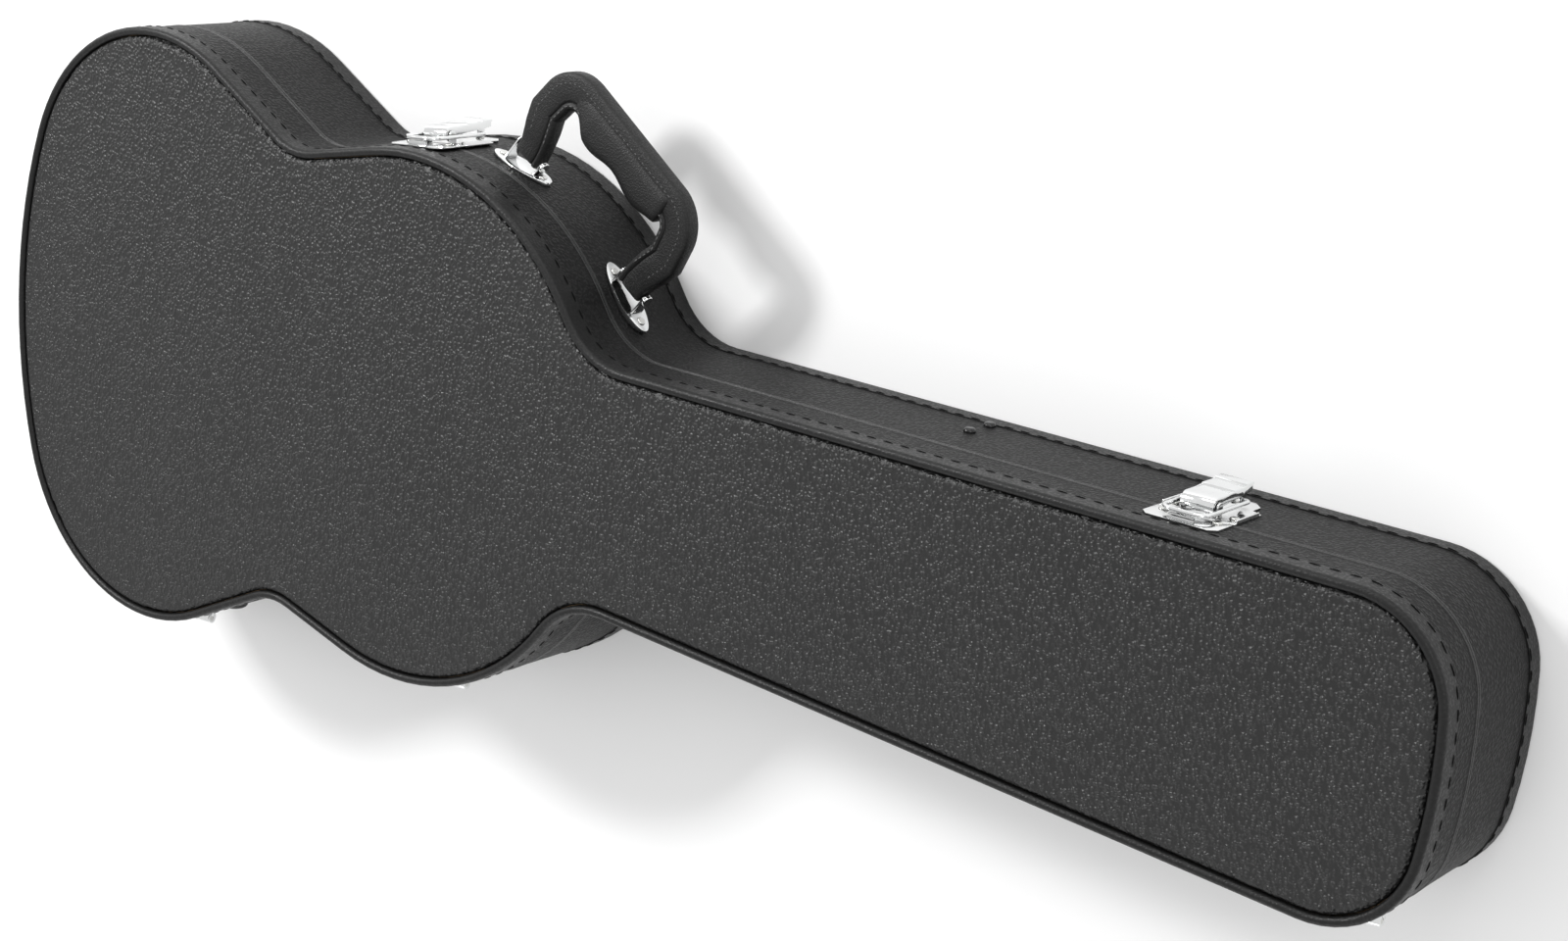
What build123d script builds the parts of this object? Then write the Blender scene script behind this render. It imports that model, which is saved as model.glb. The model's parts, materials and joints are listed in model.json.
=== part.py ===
from build123d import *
import os
from math import acos, atan2, cos, hypot, pi, radians, sin, sqrt

# Hard electric guitar case, lying on its back with the lid upwards.
# Origin: middle of the case's length and width, on the surface it lies on.
# +X runs to the tail end, -X to the head end, +Y to the hinges, +Z up through the lid.

# Outline of the outer wall, seen from above; stations are measured from the tail end
case_length = 1040.0
tail_crown_radius = 348.0
lower_bout_radius = 122.7
lower_bout_half_width = 193.2
waist_station = 267.8
waist_radius = 42.0
waist_half_width = 144.0
upper_bout_station = 365.6
upper_bout_radius = 155.6
upper_bout_half_width = 161.5
neck_corner_radius = 50.0
neck_half_width = 72.3
head_half_width = 84.1
head_corner_radius = 54.8
head_crown_radius = 314.0

# Heights
case_depth = 102.0
lid_depth = 34.5
parting_gap = 0.4

# Layers of the shell, from the outside in
band_thickness = 0.6
band_height = 13.0
vinyl_thickness = 0.9
panel_vinyl_thickness = 1.0
lid_ply_thickness = 4.9
panel_ply_thickness = 5.0
panel_drop = 0.8
panel_edge_radius = 4.0
bead_height = 5.5
bead_edge_radius = 2.5
groove_gap = 0.3
foot_flat_depth = 0.4
valance_thickness = 2.0
valance_clearance = 0.5
valance_rise = 6.0
valance_depth = 20.0

# Padding and lining
floor_pad_thickness = 8.0
plush_thickness = 1.5
body_cavity_inset = 32.0
head_cavity_inset = 24.0
padding_top_gap = 8.0
lid_pad_thickness = 9.0
lid_skirt_gap = 1.5
body_bulkhead_station = 470.0
cradle_length = 22.0
cradle_notch_half_width = 31.0
cradle_notch_floor = 36.0
cradle_notch_round = 7.75
neck_strip_drop = 7.0
head_bulkhead_station = 850.0

# Accessory box under the neck
box_half_width = 56.0
box_wall = 5.0
box_length = 250.0
box_wall_height = 31.0
box_lid_thickness = 4.0
box_lid_gap = 0.4
box_pin_radius = 1.2
box_knuckle_radius = 2.4
box_knuckle_length = 30.0
box_barrel_length = 8.0
box_post_depth = 6.0
box_floor_thickness = 2.0
box_knuckle_end_distance = 50.0
box_lid_overhang = 1.0
tab_length = 34.0
tab_width = 16.0
tab_thickness = 1.2

# Hinges on the straight line that touches the three bulges
hinge_axis_offset = 3.6
hinge_pin_radius = 1.5
hinge_knuckle_radius = 3.0
hinge_knuckle_length = 13.0
hinge_knuckle_gap = 0.3
hinge_leaf_thickness = 1.2
hinge_leaf_height = 20.0
hinge_leaf_half_length = 20.0
hinge_web_height = 3.2
hinge_clearance = 0.4
pin_running_clearance = 0.05
hinge_screw_spacing = 25.0
hinge_screw_drop = 13.0

# Rivets and screws
rivet_head_radius = 2.6
rivet_head_height = 1.1
rivet_shank_radius = 1.3
rivet_length = 6.0
rivet_dome = 0.99

# Draw latches on the opening side
latch_body_station = 349.0
latch_neck_station = 880.5
latch_half_width = 21.0
latch_plate_thickness = 1.0
strike_height = 19.0
strike_chamfer = 4.0
latch_plate_gap = 0.6
base_plate_length = 42.0
base_plate_step = 26.0
base_plate_tail_half_width = 14.5
base_flange_height = 2.6
base_shoulder = 3.0
flange_end_gap = 2.0
base_corner = 5.0
lever_pivot_drop = 3.5
lever_pivot_height = 6.0
lever_pin_radius = 1.3
lever_half_width = 9.2
lever_plate_thickness = 1.0
lever_length = 34.0
lever_nose_radius = 4.6
lever_step_height = 1.1
lever_front_share_end = 14.0
lever_middle_share_end = 26.0
lever_side_height = 4.0
lever_tab_half_width = 7.0
lever_tab_length = 7.0
lever_tab_rise = 6.5
lever_step_slope = 1.2
lever_curl_start = 1.5
lever_curl_dip = 1.6
lever_cheek_foot = 2.6
lever_cheek_setback = 2.0
lever_cheek_slope = 5.0
ear_thickness = 1.2
ear_gap = 0.3
ear_radius = 2.6
bail_wire_radius = 1.15
bail_half_width = 12.4
bail_pivot_distance = 25.0
bail_pivot_drop = 1.0
bail_reach = 14.5
bail_corner_radius = 6.0
bail_trunnion = 4.6
hook_half_width = 7.0
hook_thickness = 1.6
hook_clearance = 0.45

# Carrying handle
handle_station_tail = 404.5
handle_station_neck = 491.5
handle_drop = 16.5
handle_plate_length = 46.0
handle_plate_width = 17.0
handle_plate_thickness = 1.2
handle_plate_rivet_spacing = 33.0
handle_pin_height = 11.5
handle_pin_radius = 1.75
handle_strap_width = 20.0
handle_strap_thickness = 10.0
handle_plate_neck_slope = 46.0
handle_plate_neck_lift = 1.6
handle_top_height = 77.0
handle_shoulder_half_width = 69.0
handle_shoulder_height = 40.0
handle_straight_height = 18.0
handle_lean_in = 2.0
handle_outer_corner_radius = 27.0
handle_inner_corner_radius = 7.0
handle_ear_thickness = 1.2
handle_ear_root = 8.0
handle_ear_gap = 0.3
handle_ear_foot_half_width = 5.5
handle_ear_tip_radius = 3.2
handle_core_thickness = 2.0
handle_core_width = 8.0
grip_thickness = 9.0
grip_half_length = 41.0
grip_half_width = 7.5
grip_bulge = 3.0
ring_radius = 3.4
ring_thickness = 1.6

# Studs and feet
side_stud_station = 723.5
side_stud_heights = (34.7, 16.1)
side_stud_radius = 3.4
side_stud_height = 2.4
side_stud_dome = 1.92
foot_radius = 8.0
foot_clearance = 0.4
foot_round = 3.0
foot_level = 30.0
foot_shifts = (-42.0, 0.0)

os.makedirs("parts", exist_ok=True)

# Values that follow from the driving dimensions
half_length = case_length / 2
parting_height = case_depth - lid_depth
base_top = parting_height - parting_gap / 2
handle_height = parting_height - handle_drop
lid_bottom = parting_height + parting_gap / 2
cover_inset = band_thickness
rim_inset = cover_inset + vinyl_thickness
lid_rim_inner = rim_inset + lid_ply_thickness
base_rim_inner = lid_rim_inner + valance_clearance
valance_inner = base_rim_inner + valance_thickness
groove_inset = lid_rim_inner - panel_vinyl_thickness
bead_inner = groove_inset - groove_gap
bead_foot = case_depth - bead_height
panel_face = case_depth - panel_drop
panel_ply_top = panel_face - panel_vinyl_thickness
panel_ply_bottom = panel_ply_top - panel_ply_thickness
floor_level = case_depth - panel_ply_bottom
floor_pad_top = floor_level + floor_pad_thickness
padding_top = base_top - padding_top_gap
lining_top = padding_top + plush_thickness
lid_pad_bottom = panel_ply_bottom - lid_pad_thickness
lid_lining_bottom = lid_pad_bottom - plush_thickness
valance_top = parting_height + valance_rise
body_bulkhead = half_length - body_bulkhead_station
head_bulkhead = half_length - head_bulkhead_station


pieces = {}


def keep(node, shape):
    """Keep one named piece until all are made."""
    pieces[node] = shape


def write(node, shape):
    """Write one named piece, as a single solid or as a group of separate solids."""
    solids = shape.solids()
    body = solids[0] if len(solids) == 1 else Compound(children=solids)
    body.label = node
    export_step(body, f"parts/{node}.step")


def outline_circles():
    """Circles of the half outline from tail to head: centre x, centre y, signed radius."""
    tail_x = half_length - tail_crown_radius
    bout_y = lower_bout_half_width - lower_bout_radius
    bout_reach = tail_crown_radius - lower_bout_radius
    bout_x = tail_x + sqrt(bout_reach**2 - bout_y**2)
    waist_x = half_length - waist_station
    waist_y = waist_half_width + waist_radius
    upper_x = half_length - upper_bout_station
    upper_y = upper_bout_half_width - upper_bout_radius
    corner_y = neck_half_width + neck_corner_radius
    corner_reach = upper_bout_radius + neck_corner_radius
    corner_x = upper_x - sqrt(corner_reach**2 - (corner_y - upper_y) ** 2)
    end_x = head_crown_radius - half_length
    head_y = head_half_width - head_corner_radius
    head_reach = head_crown_radius - head_corner_radius
    head_x = end_x - sqrt(head_reach**2 - head_y**2)
    return [
        (tail_x, 0.0, tail_crown_radius),
        (bout_x, bout_y, lower_bout_radius),
        (waist_x, waist_y, -waist_radius),
        (upper_x, upper_y, upper_bout_radius),
        (corner_x, corner_y, -neck_corner_radius),
        (head_x, head_y, head_corner_radius),
        (end_x, 0.0, head_crown_radius),
    ]


def tangent_normal(first, second):
    """Left-hand normal of the line that leaves the first circle and meets the second."""
    gap_x = second[0] - first[0]
    gap_y = second[1] - first[1]
    share = (second[2] - first[2]) / hypot(gap_x, gap_y)
    turn = atan2(gap_y, gap_x) + acos(max(-1.0, min(1.0, share)))
    return cos(turn), sin(turn)


def arc_between(circle, start, end):
    """The arc of a signed circle from start to end, in the direction of travel."""
    first = atan2(start[1] - circle[1], start[0] - circle[0])
    last = atan2(end[1] - circle[1], end[0] - circle[0])
    if circle[2] > 0 and last < first:
        last += 2 * pi
    if circle[2] < 0 and last > first:
        last -= 2 * pi
    middle = (first + last) / 2
    radius = abs(circle[2])
    top = (circle[0] + radius * cos(middle), circle[1] + radius * sin(middle))
    return ThreePointArc(start, top, end)


def outline(inset):
    """Face of the case's outline, drawn in by inset all round."""
    circles = [(x, y, r - inset) for x, y, r in outline_circles()]
    edges = []
    start = (half_length - inset, 0.0)
    for circle, following in zip(circles, circles[1:]):
        normal = tangent_normal(circle, following)
        leave = (circle[0] - normal[0] * circle[2], circle[1] - normal[1] * circle[2])
        meet = (following[0] - normal[0] * following[2], following[1] - normal[1] * following[2])
        edges.append(arc_between(circle, start, leave))
        if hypot(meet[0] - leave[0], meet[1] - leave[1]) > 0.01:
            edges.append(Line(leave, meet))
            start = meet
        else:
            start = leave
    edges.append(arc_between(circles[-1], start, (inset - half_length, 0.0)))
    half = Curve() + edges
    return make_face(half + mirror(half, about=Plane.XZ))


def slab(inset, low, high):
    """Solid of the outline between two heights."""
    return Pos(0, 0, low) * extrude(outline(inset), high - low)


def ring(outer, inner, low, high):
    """Wall between two insets and two heights."""
    return slab(outer, low, high) - slab(inner, low, high)


def block(low_x, high_x, low_y, high_y, low_z, high_z):
    """Box between two corners."""
    middle = Pos((low_x + high_x) / 2, (low_y + high_y) / 2, (low_z + high_z) / 2)
    return middle * Box(high_x - low_x, high_y - low_y, high_z - low_z)


def between_stations(low_x, high_x):
    """A tall block across the whole case, used to keep one stretch of it."""
    return block(low_x, high_x, -half_length, half_length, 0, case_depth)


def turned_over(shape):
    """The same shape for the back of the case."""
    return Pos(0, 0, case_depth) * Rot(180, 0, 0) * shape


# Wall frames: x along the wall, y up, z out of the wall
def wall_frame(point, outward, height, inset):
    """Plane on the wall, drawn in by inset, at one height."""
    length = hypot(outward[0], outward[1])
    out = (outward[0] / length, outward[1] / length)
    origin = (point[0] - out[0] * inset, point[1] - out[1] * inset, height)
    return Plane(origin=origin, x_dir=(-out[1], out[0], 0), z_dir=(out[0], out[1], 0))


def bout_frame(station, height, inset):
    """Frame on the upper bout's opening side."""
    centre_x, centre_y, radius = outline_circles()[3]
    across = half_length - station - centre_x
    out = (across, -sqrt(radius**2 - across**2))
    return wall_frame((centre_x + out[0], out[1] - centre_y), out, height, inset)


def neck_frame(station, height, inset):
    """Frame on the straight neck's opening side."""
    circles = outline_circles()
    normal = tangent_normal(circles[4], circles[5])
    corner = circles[5]
    touch = (corner[0] - normal[0] * corner[2], corner[1] - normal[1] * corner[2])
    x = half_length - station
    y = touch[1] - (x - touch[0]) * normal[0] / normal[1]
    return wall_frame((x, -y), (-normal[0], normal[1]), height, inset)


# Shell of the lid; the base's outer shell is the same, turned over
def edge_band():
    """Vinyl band over the edge, with the piped bead at its top."""
    skirt = ring(0, band_thickness, case_depth - band_height, bead_foot + bead_edge_radius)
    bead = ring(0, bead_inner, bead_foot, case_depth)
    bead = fillet(bead.edges().group_by(Axis.Z)[-1], bead_edge_radius)
    return skirt + bead


def panel_cover():
    """Vinyl drawn over the panel and down into the groove."""
    shell = slab(groove_inset, bead_foot, panel_face)
    shell = fillet(shell.edges().group_by(Axis.Z)[-1], panel_edge_radius)
    return shell - panel_ply()


def panel_ply():
    """Plywood panel with a softened edge under the vinyl."""
    board = slab(lid_rim_inner, panel_ply_bottom, panel_ply_top)
    return fillet(board.edges().group_by(Axis.Z)[-1], panel_edge_radius - panel_vinyl_thickness)


def foot_cut(shape):
    """Cut the bead flat where the case rests on it."""
    lowered = Pos(0, 0, -foot_flat_depth) * shape
    return lowered - block(-case_length, case_length, -case_length, case_length, -case_length, 0)


# Fasteners: one rivet points out of the wall along the frame's z
def rivet_at(frame, along, up, seat):
    """Domed rivet whose head sits on a plate of the given thickness."""
    shank = Pos(0, 0, seat - rivet_length) * Cylinder(
        rivet_shank_radius, rivet_length, align=(Align.CENTER, Align.CENTER, Align.MIN)
    )
    head = Cylinder(rivet_head_radius, rivet_head_height, align=(Align.CENTER, Align.CENTER, Align.MIN))
    head = fillet(head.edges().group_by(Axis.Z)[-1], rivet_dome)
    return frame.location * Pos(along, up, 0) * (shank + Pos(0, 0, seat) * head)


def bores_at(frame, places, seat):
    """Straight shanks that cut the holes for a row of rivets."""
    shank = Cylinder(rivet_shank_radius, rivet_length, align=(Align.CENTER, Align.CENTER, Align.MIN))
    return [frame.location * Pos(along, up, seat - rivet_length) * shank for along, up in places]


# Draw latch pieces in the wall frame: x along, y up from the parting line, z out
pivot_y = -lever_pivot_drop
pivot_z = lever_pivot_height
lever_top = pivot_z + lever_nose_radius
strike_rivets = ((-15.0, 5.5), (15.0, 5.5))
base_rivets = ((-16.5, -8.0), (16.5, -8.0), (0.0, -36.5))
hook_tip = lever_pivot_height - bail_pivot_drop - bail_wire_radius - hook_clearance


def strike_plate():
    """Plate on the lid with two clipped corners and an upstanding lip."""
    half = latch_half_width
    low = latch_plate_gap / 2
    high = low + strike_height
    corner = strike_chamfer
    profile = Polyline(
        (-half, low), (half, low), (half, high - corner), (half - corner, high),
        (corner - half, high), (-half, high - corner), close=True,
    )
    plate = extrude(make_face(profile), latch_plate_thickness)
    lip_y = bail_reach
    lip = Pos(0, lip_y, hook_tip / 2) * Box(2 * hook_half_width, hook_thickness, hook_tip)
    lip = fillet(lip.edges().filter_by(Axis.X).group_by(Axis.Z)[-1], hook_thickness * 0.4375)
    return plate + lip


def base_plate():
    """Plate on the base: flanged sides, a stepped tail and two ears for the lever pin."""
    half = latch_half_width
    top = -latch_plate_gap / 2
    foot = top - base_plate_length
    step = top - base_plate_step
    tail = base_plate_tail_half_width
    profile = Polyline(
        (-half, top), (half, top), (half, step), (tail, step - base_shoulder), (tail, foot + base_corner),
        (tail - base_corner, foot), (base_corner - tail, foot), (-tail, foot + base_corner),
        (-tail, step - base_shoulder), (-half, step), close=True,
    )
    plate = extrude(make_face(profile), latch_plate_thickness)
    for side in (-1, 1):
        flange_x = side * (half - latch_plate_thickness / 2)
        flange_y = (top + step) / 2
        flange = Box(latch_plate_thickness, top - step - 2 * flange_end_gap, base_flange_height)
        plate += Pos(flange_x, flange_y, base_flange_height / 2) * flange
        ear_x = side * (lever_half_width + ear_gap + ear_thickness / 2)
        ear = Box(ear_thickness, 2 * ear_radius, pivot_z)
        knuckle = Rot(0, 90, 0) * Cylinder(ear_radius, ear_thickness)
        plate += Pos(ear_x, pivot_y, pivot_z / 2) * ear
        plate += Pos(ear_x, pivot_y, pivot_z) * knuckle
    bore = Rot(0, 90, 0) * Cylinder(lever_pin_radius, 2 * latch_half_width)
    return plate - Pos(0, pivot_y, pivot_z) * bore


def lever_pin():
    """Pin through the plate's ears and the lever's cheeks."""
    reach = lever_half_width + ear_gap + ear_thickness
    return Pos(0, pivot_y, pivot_z) * Rot(0, 90, 0) * Cylinder(lever_pin_radius, 2 * reach)


def lever():
    """Pressed lever: rounded nose, two raised steps, cheeks and a curled finger tab."""
    wall = lever_plate_thickness
    top = lever_top
    front = pivot_y - lever_front_share_end
    middle = pivot_y - lever_middle_share_end
    tail = pivot_y - lever_length
    tab = tail - lever_tab_length
    rise = lever_step_height
    first = top + rise
    second = first + rise
    slope = lever_step_slope
    upper = [
        (pivot_y, top), (front, top), (front - slope, first), (middle, first),
        (middle - slope, second), (tail, second),
    ]
    lower = [(y, z - wall) for y, z in reversed(upper)]
    sheet = extrude(Plane.YZ * make_face(Polyline(*upper, *lower, close=True)), lever_half_width, both=True)
    curl_y = tab + lever_curl_start
    curl_z = second + lever_curl_dip
    curl = ThreePointArc((tail, second), (curl_y, curl_z), (tab, second + lever_tab_rise))
    lip = ThreePointArc(
        (tab + wall, second + lever_tab_rise), (curl_y + wall * 0.7, curl_z + wall * 0.2),
        (tail, second - wall),
    )
    joined = Curve() + [curl, Line(curl @ 1, lip @ 0), lip, Line(lip @ 1, curl @ 0)]
    sheet += extrude(Plane.YZ * make_face(joined), lever_tab_half_width, both=True)
    nose_face = Pos(pivot_y, pivot_z) * Circle(lever_nose_radius)
    nose_face -= Pos(pivot_y, pivot_z) * Circle(lever_nose_radius - wall)
    nose_face -= Pos(pivot_y - lever_nose_radius, pivot_z) * Rectangle(
        2 * lever_nose_radius, 4 * lever_nose_radius
    )
    nose_face -= Pos(pivot_y, pivot_z - 2 * lever_nose_radius) * Rectangle(
        4 * lever_nose_radius, 3 * lever_nose_radius
    )
    sheet += extrude(Plane.YZ * nose_face, lever_half_width, both=True)
    cheek_low = top - lever_side_height
    cheek_points = [
        (pivot_y, top - wall / 2), (tail + wall, second - wall / 2),
        (tail + wall, second - lever_side_height),
        (middle, cheek_low + rise), (pivot_y - lever_cheek_slope, cheek_low - wall),
        (pivot_y - lever_cheek_setback, pivot_z - lever_cheek_foot), (pivot_y, pivot_z - lever_cheek_foot),
    ]
    cheek_face = make_face(Polyline(*cheek_points, close=True))
    cheek_face += Pos(pivot_y, pivot_z) * Circle(lever_nose_radius - wall / 2)
    bail_y = pivot_y - bail_pivot_distance
    bail_z = pivot_z - bail_pivot_drop
    lobe = ear_radius
    cheek_face += Pos(bail_y, bail_z) * Circle(lobe)
    cheek_face += Pos(bail_y, (bail_z + top) / 2) * Rectangle(2 * lobe, top - bail_z)
    for side in (-1, 1):
        cheek = extrude(Plane.YZ * cheek_face, wall)
        shift = lever_half_width - wall if side > 0 else -lever_half_width
        sheet += Pos(shift, 0, 0) * cheek
    bore = Rot(0, 90, 0) * Cylinder(lever_pin_radius + pin_running_clearance, 3 * latch_half_width)
    sheet -= Pos(0, pivot_y, pivot_z) * bore
    trunnion_hole = Rot(0, 90, 0) * Cylinder(bail_wire_radius + pin_running_clearance, 3 * latch_half_width)
    return sheet - Pos(0, bail_y, bail_z) * trunnion_hole


def bail():
    """Wire loop that hangs in the lever and reaches over the lid's lip."""
    back = pivot_y - bail_pivot_distance
    level = pivot_z - bail_pivot_drop
    half = bail_half_width
    path = FilletPolyline(
        (half - bail_trunnion, back, level), (half, back, level), (half, bail_reach, level),
        (-half, bail_reach, level), (-half, back, level), (bail_trunnion - half, back, level),
        radius=(bail_wire_radius * 1.6, bail_corner_radius, bail_corner_radius, bail_wire_radius * 1.6),
    )
    section = Plane(origin=path @ 0, z_dir=path % 0) * Circle(bail_wire_radius)
    return sweep(section, path=path)


# Handle frame: x along the line of the two pins towards the tail, y out of the wall, z down
tail_mount = bout_frame(handle_station_tail, handle_height, cover_inset)
neck_point = bout_frame(handle_station_neck, handle_height, cover_inset).origin
neck_slope = radians(handle_plate_neck_slope)
neck_out = Vector(-sin(neck_slope), -cos(neck_slope), 0)
neck_mount = Plane(
    origin=neck_point + neck_out * handle_plate_neck_lift, x_dir=(-neck_out.Y, neck_out.X, 0), z_dir=neck_out
)
handle_chord = tail_mount.origin - neck_point
handle_half_pitch = handle_chord.length / 2
handle_frame = Plane(
    origin=(tail_mount.origin + neck_point) * 0.5, x_dir=handle_chord.normalized(), z_dir=(0, 0, -1)
)
strap_end_radius = handle_strap_thickness / 2
strap_foot = handle_pin_height - strap_end_radius
ear_reach = handle_strap_width / 2 + handle_ear_gap


def arch_face():
    """The strap's arch in the handle frame: legs that lean outwards under a rounded top."""
    half = handle_strap_width / 2
    foot = handle_half_pitch + half
    shoulder = handle_shoulder_half_width
    top = handle_top_height
    level = handle_shoulder_height
    outer = Polyline(
        (foot, strap_foot), (foot, handle_straight_height), (shoulder, level),
        (shoulder - handle_lean_in, top), (handle_lean_in - shoulder, top), (-shoulder, level),
        (-foot, handle_straight_height), (-foot, strap_foot), close=True,
    )
    outer = make_face(outer)
    corners = outer.vertices().group_by(Axis.Y)
    outer = fillet(corners[-1], handle_outer_corner_radius)
    inner_shoulder = shoulder - handle_strap_width
    inner = make_face(Polyline(
        (foot - 2 * half, strap_foot), (foot - 2 * half, handle_straight_height), (inner_shoulder, level),
        (inner_shoulder, top - 2 * half), (-inner_shoulder, top - 2 * half), (-inner_shoulder, level),
        (2 * half - foot, handle_straight_height), (2 * half - foot, strap_foot), close=True,
    ))
    inner = fillet(inner.vertices().group_by(Axis.Y)[-1], handle_inner_corner_radius)
    return outer - inner


def handle_strap():
    """Stitched leathercloth arch with rounded ends that turn on the two pins."""
    half = handle_strap_thickness / 2
    arch = Pos(0, 0, -half) * extrude(arch_face(), handle_strap_thickness)
    ends = arch.edges().filter_by(Axis.X).group_by(Axis.Y)[0]
    arch = fillet(ends, strap_end_radius - pin_running_clearance)
    bore = Rot(0, 90, 0) * Cylinder(handle_pin_radius + pin_running_clearance, case_length / 4)
    arch -= Pos(0, handle_pin_height, 0) * bore
    return arch - handle_core(handle_core_width, handle_core_thickness)


def handle_core(width, thickness):
    """Spring steel strip inside the top of the handle."""
    middle = handle_top_height - handle_strap_width / 2
    return Pos(0, middle, 0) * Box(2 * grip_half_length, width, thickness)


def handle_grip():
    """Padded grip under the top bar, with a swell for each pair of fingers."""
    top = handle_top_height - handle_strap_width
    low = top - grip_thickness + grip_bulge
    dip = low - grip_bulge
    half = grip_half_length
    lower = Spline(
        (-half, low), (-half / 2, dip), (0, low), (half / 2, dip), (half, low)
    )
    edge = Curve() + [
        lower, Line((half, low), (half, top)), Line((half, top), (-half, top)),
        Line((-half, top), (-half, low)),
    ]
    return Pos(0, 0, -grip_half_width) * extrude(make_face(edge), 2 * grip_half_width)


def plate_shape(mount):
    """Long oval plate on the wall, its back following the wall's curve."""
    oval = Ellipse(handle_plate_length / 2, handle_plate_width / 2)
    back = 2 * rivet_length
    plate = mount.location * Pos(0, 0, -back) * extrude(oval, back + handle_plate_thickness)
    return plate - slab(cover_inset, 0, case_depth)


def handle_ears(side):
    """Two ears that stand up from a plate on either side of the strap's end."""
    foot = handle_ear_foot_half_width
    tip = handle_ear_tip_radius
    ears = []
    for out in (-1, 1):
        face = make_face(Polyline(
            (-handle_ear_root, -foot), (handle_pin_height, -tip), (handle_pin_height, tip),
            (-handle_ear_root, foot), close=True,
        ))
        face += Pos(handle_pin_height, 0) * Circle(tip)
        ear = extrude(Plane.YZ * face, handle_ear_thickness / 2, both=True)
        shift = side * handle_half_pitch + out * (ear_reach + handle_ear_thickness / 2)
        ears.append(Pos(shift, 0, 0) * ear)
    bore = Rot(0, 90, 0) * Cylinder(handle_pin_radius, case_length / 4)
    ears = [ear - Pos(0, handle_pin_height, 0) * bore for ear in ears]
    return [handle_frame.location * ear - slab(cover_inset, 0, case_depth) for ear in ears]


def handle_plate(side, mount):
    """One handle plate with its ears, drilled for its two rivets."""
    plate = plate_shape(mount)
    for ear in handle_ears(side):
        plate += ear
    for bore in bores_at(mount, handle_rivet_places, handle_plate_thickness):
        plate -= bore
    return plate


def handle_pin(side):
    """Pin through the ears with a rolled ring on its head."""
    reach = ear_reach + handle_ear_thickness
    length = 2 * reach + ring_thickness
    pin = Rot(0, 90, 0) * Cylinder(handle_pin_radius, length)
    head = Rot(0, 90, 0) * Cylinder(ring_radius, ring_thickness)
    middle = side * handle_half_pitch
    shape = Pos(middle - ring_thickness / 2, handle_pin_height, 0) * pin
    shape += Pos(middle - reach - ring_thickness / 2, handle_pin_height, 0) * head
    return handle_frame.location * shape


# Hinges: one straight axis outside the three bulges of the hinge side
def hinge_line():
    """Direction, outward normal and a point of the line that touches both end bulges."""
    circles = outline_circles()
    tail, head = circles[1], circles[5]
    normal = tangent_normal(tail, head)
    out = (-normal[0], -normal[1])
    touch = (tail[0] + out[0] * tail[2], tail[1] + out[1] * tail[2])
    return out, touch


def hinge_frame(circle):
    """Frame at one bulge: x towards the head along the axis, y up, z out of the wall."""
    out, touch = hinge_line()
    along = (-out[1], out[0])
    offset = (circle[0] - touch[0]) * along[0] + (circle[1] - touch[1]) * along[1]
    point = (touch[0] + along[0] * offset, touch[1] + along[1] * offset)
    return wall_frame(point, out, parting_height, 0)


def knuckles(places, radius, length):
    """Barrels of a hinge at the given places along its axis."""
    barrel = Rot(0, 90, 0) * Cylinder(radius, length)
    return [Pos(place, 0, hinge_axis_offset) * barrel for place in places]


hinge_pitch = hinge_knuckle_length + hinge_knuckle_gap
base_knuckle_places = (-hinge_pitch, hinge_pitch)
lid_knuckle_places = (0.0,)
hinge_screws = (-hinge_screw_spacing / 2, hinge_screw_spacing / 2)


def hinge_leaf(circle, up, own, other):
    """Leaf bent to the wall, with its knuckles, on the base (up -1) or the lid (up +1)."""
    frame = hinge_frame(circle)
    low = parting_gap / 2
    height = hinge_leaf_height
    wall_side = 2 * hinge_leaf_half_length
    zone = Pos(0, up * (low + height / 2), 0) * Box(wall_side, height, wall_side)
    plate = slab(cover_inset - hinge_leaf_thickness, 0, case_depth) & (frame.location * zone)
    depth = 2 * hinge_knuckle_radius + hinge_axis_offset
    web = Box(wall_side, hinge_web_height, depth)
    web = Pos(0, up * (low + hinge_web_height / 2), hinge_axis_offset - depth / 2) * web
    leaf = frame.location * web + plate
    for barrel in knuckles(own, hinge_knuckle_radius, hinge_knuckle_length):
        leaf += frame.location * barrel
    around = hinge_knuckle_radius + hinge_clearance
    for barrel in knuckles(other, around, hinge_knuckle_length + 2 * hinge_knuckle_gap):
        leaf -= frame.location * barrel
    leaf -= slab(cover_inset, 0, case_depth)
    clearance = pin_running_clearance if up > 0 else 0.0
    for bore in knuckles((0.0,), hinge_pin_radius + clearance, 4 * hinge_leaf_half_length):
        leaf -= frame.location * bore
    places = [(x, up * hinge_screw_drop) for x in hinge_screws]
    for bore in bores_at(frame, places, seat_of(circle)):
        leaf -= bore
    return leaf


def seat_of(circle):
    """Height of a hinge leaf's face at its screws, above the straight hinge line."""
    out, touch = hinge_line()
    gap = (touch[0] - circle[0]) * out[0] + (touch[1] - circle[1]) * out[1]
    radius = circle[2] - cover_inset + hinge_leaf_thickness
    return sqrt(radius**2 - (hinge_screw_spacing / 2 - rivet_head_radius) ** 2) - gap


def hinge_screw_frames(circle, up):
    """Frames of one leaf's two screws."""
    return hinge_frame(circle), [(x, up * hinge_screw_drop) for x in hinge_screws]


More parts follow.
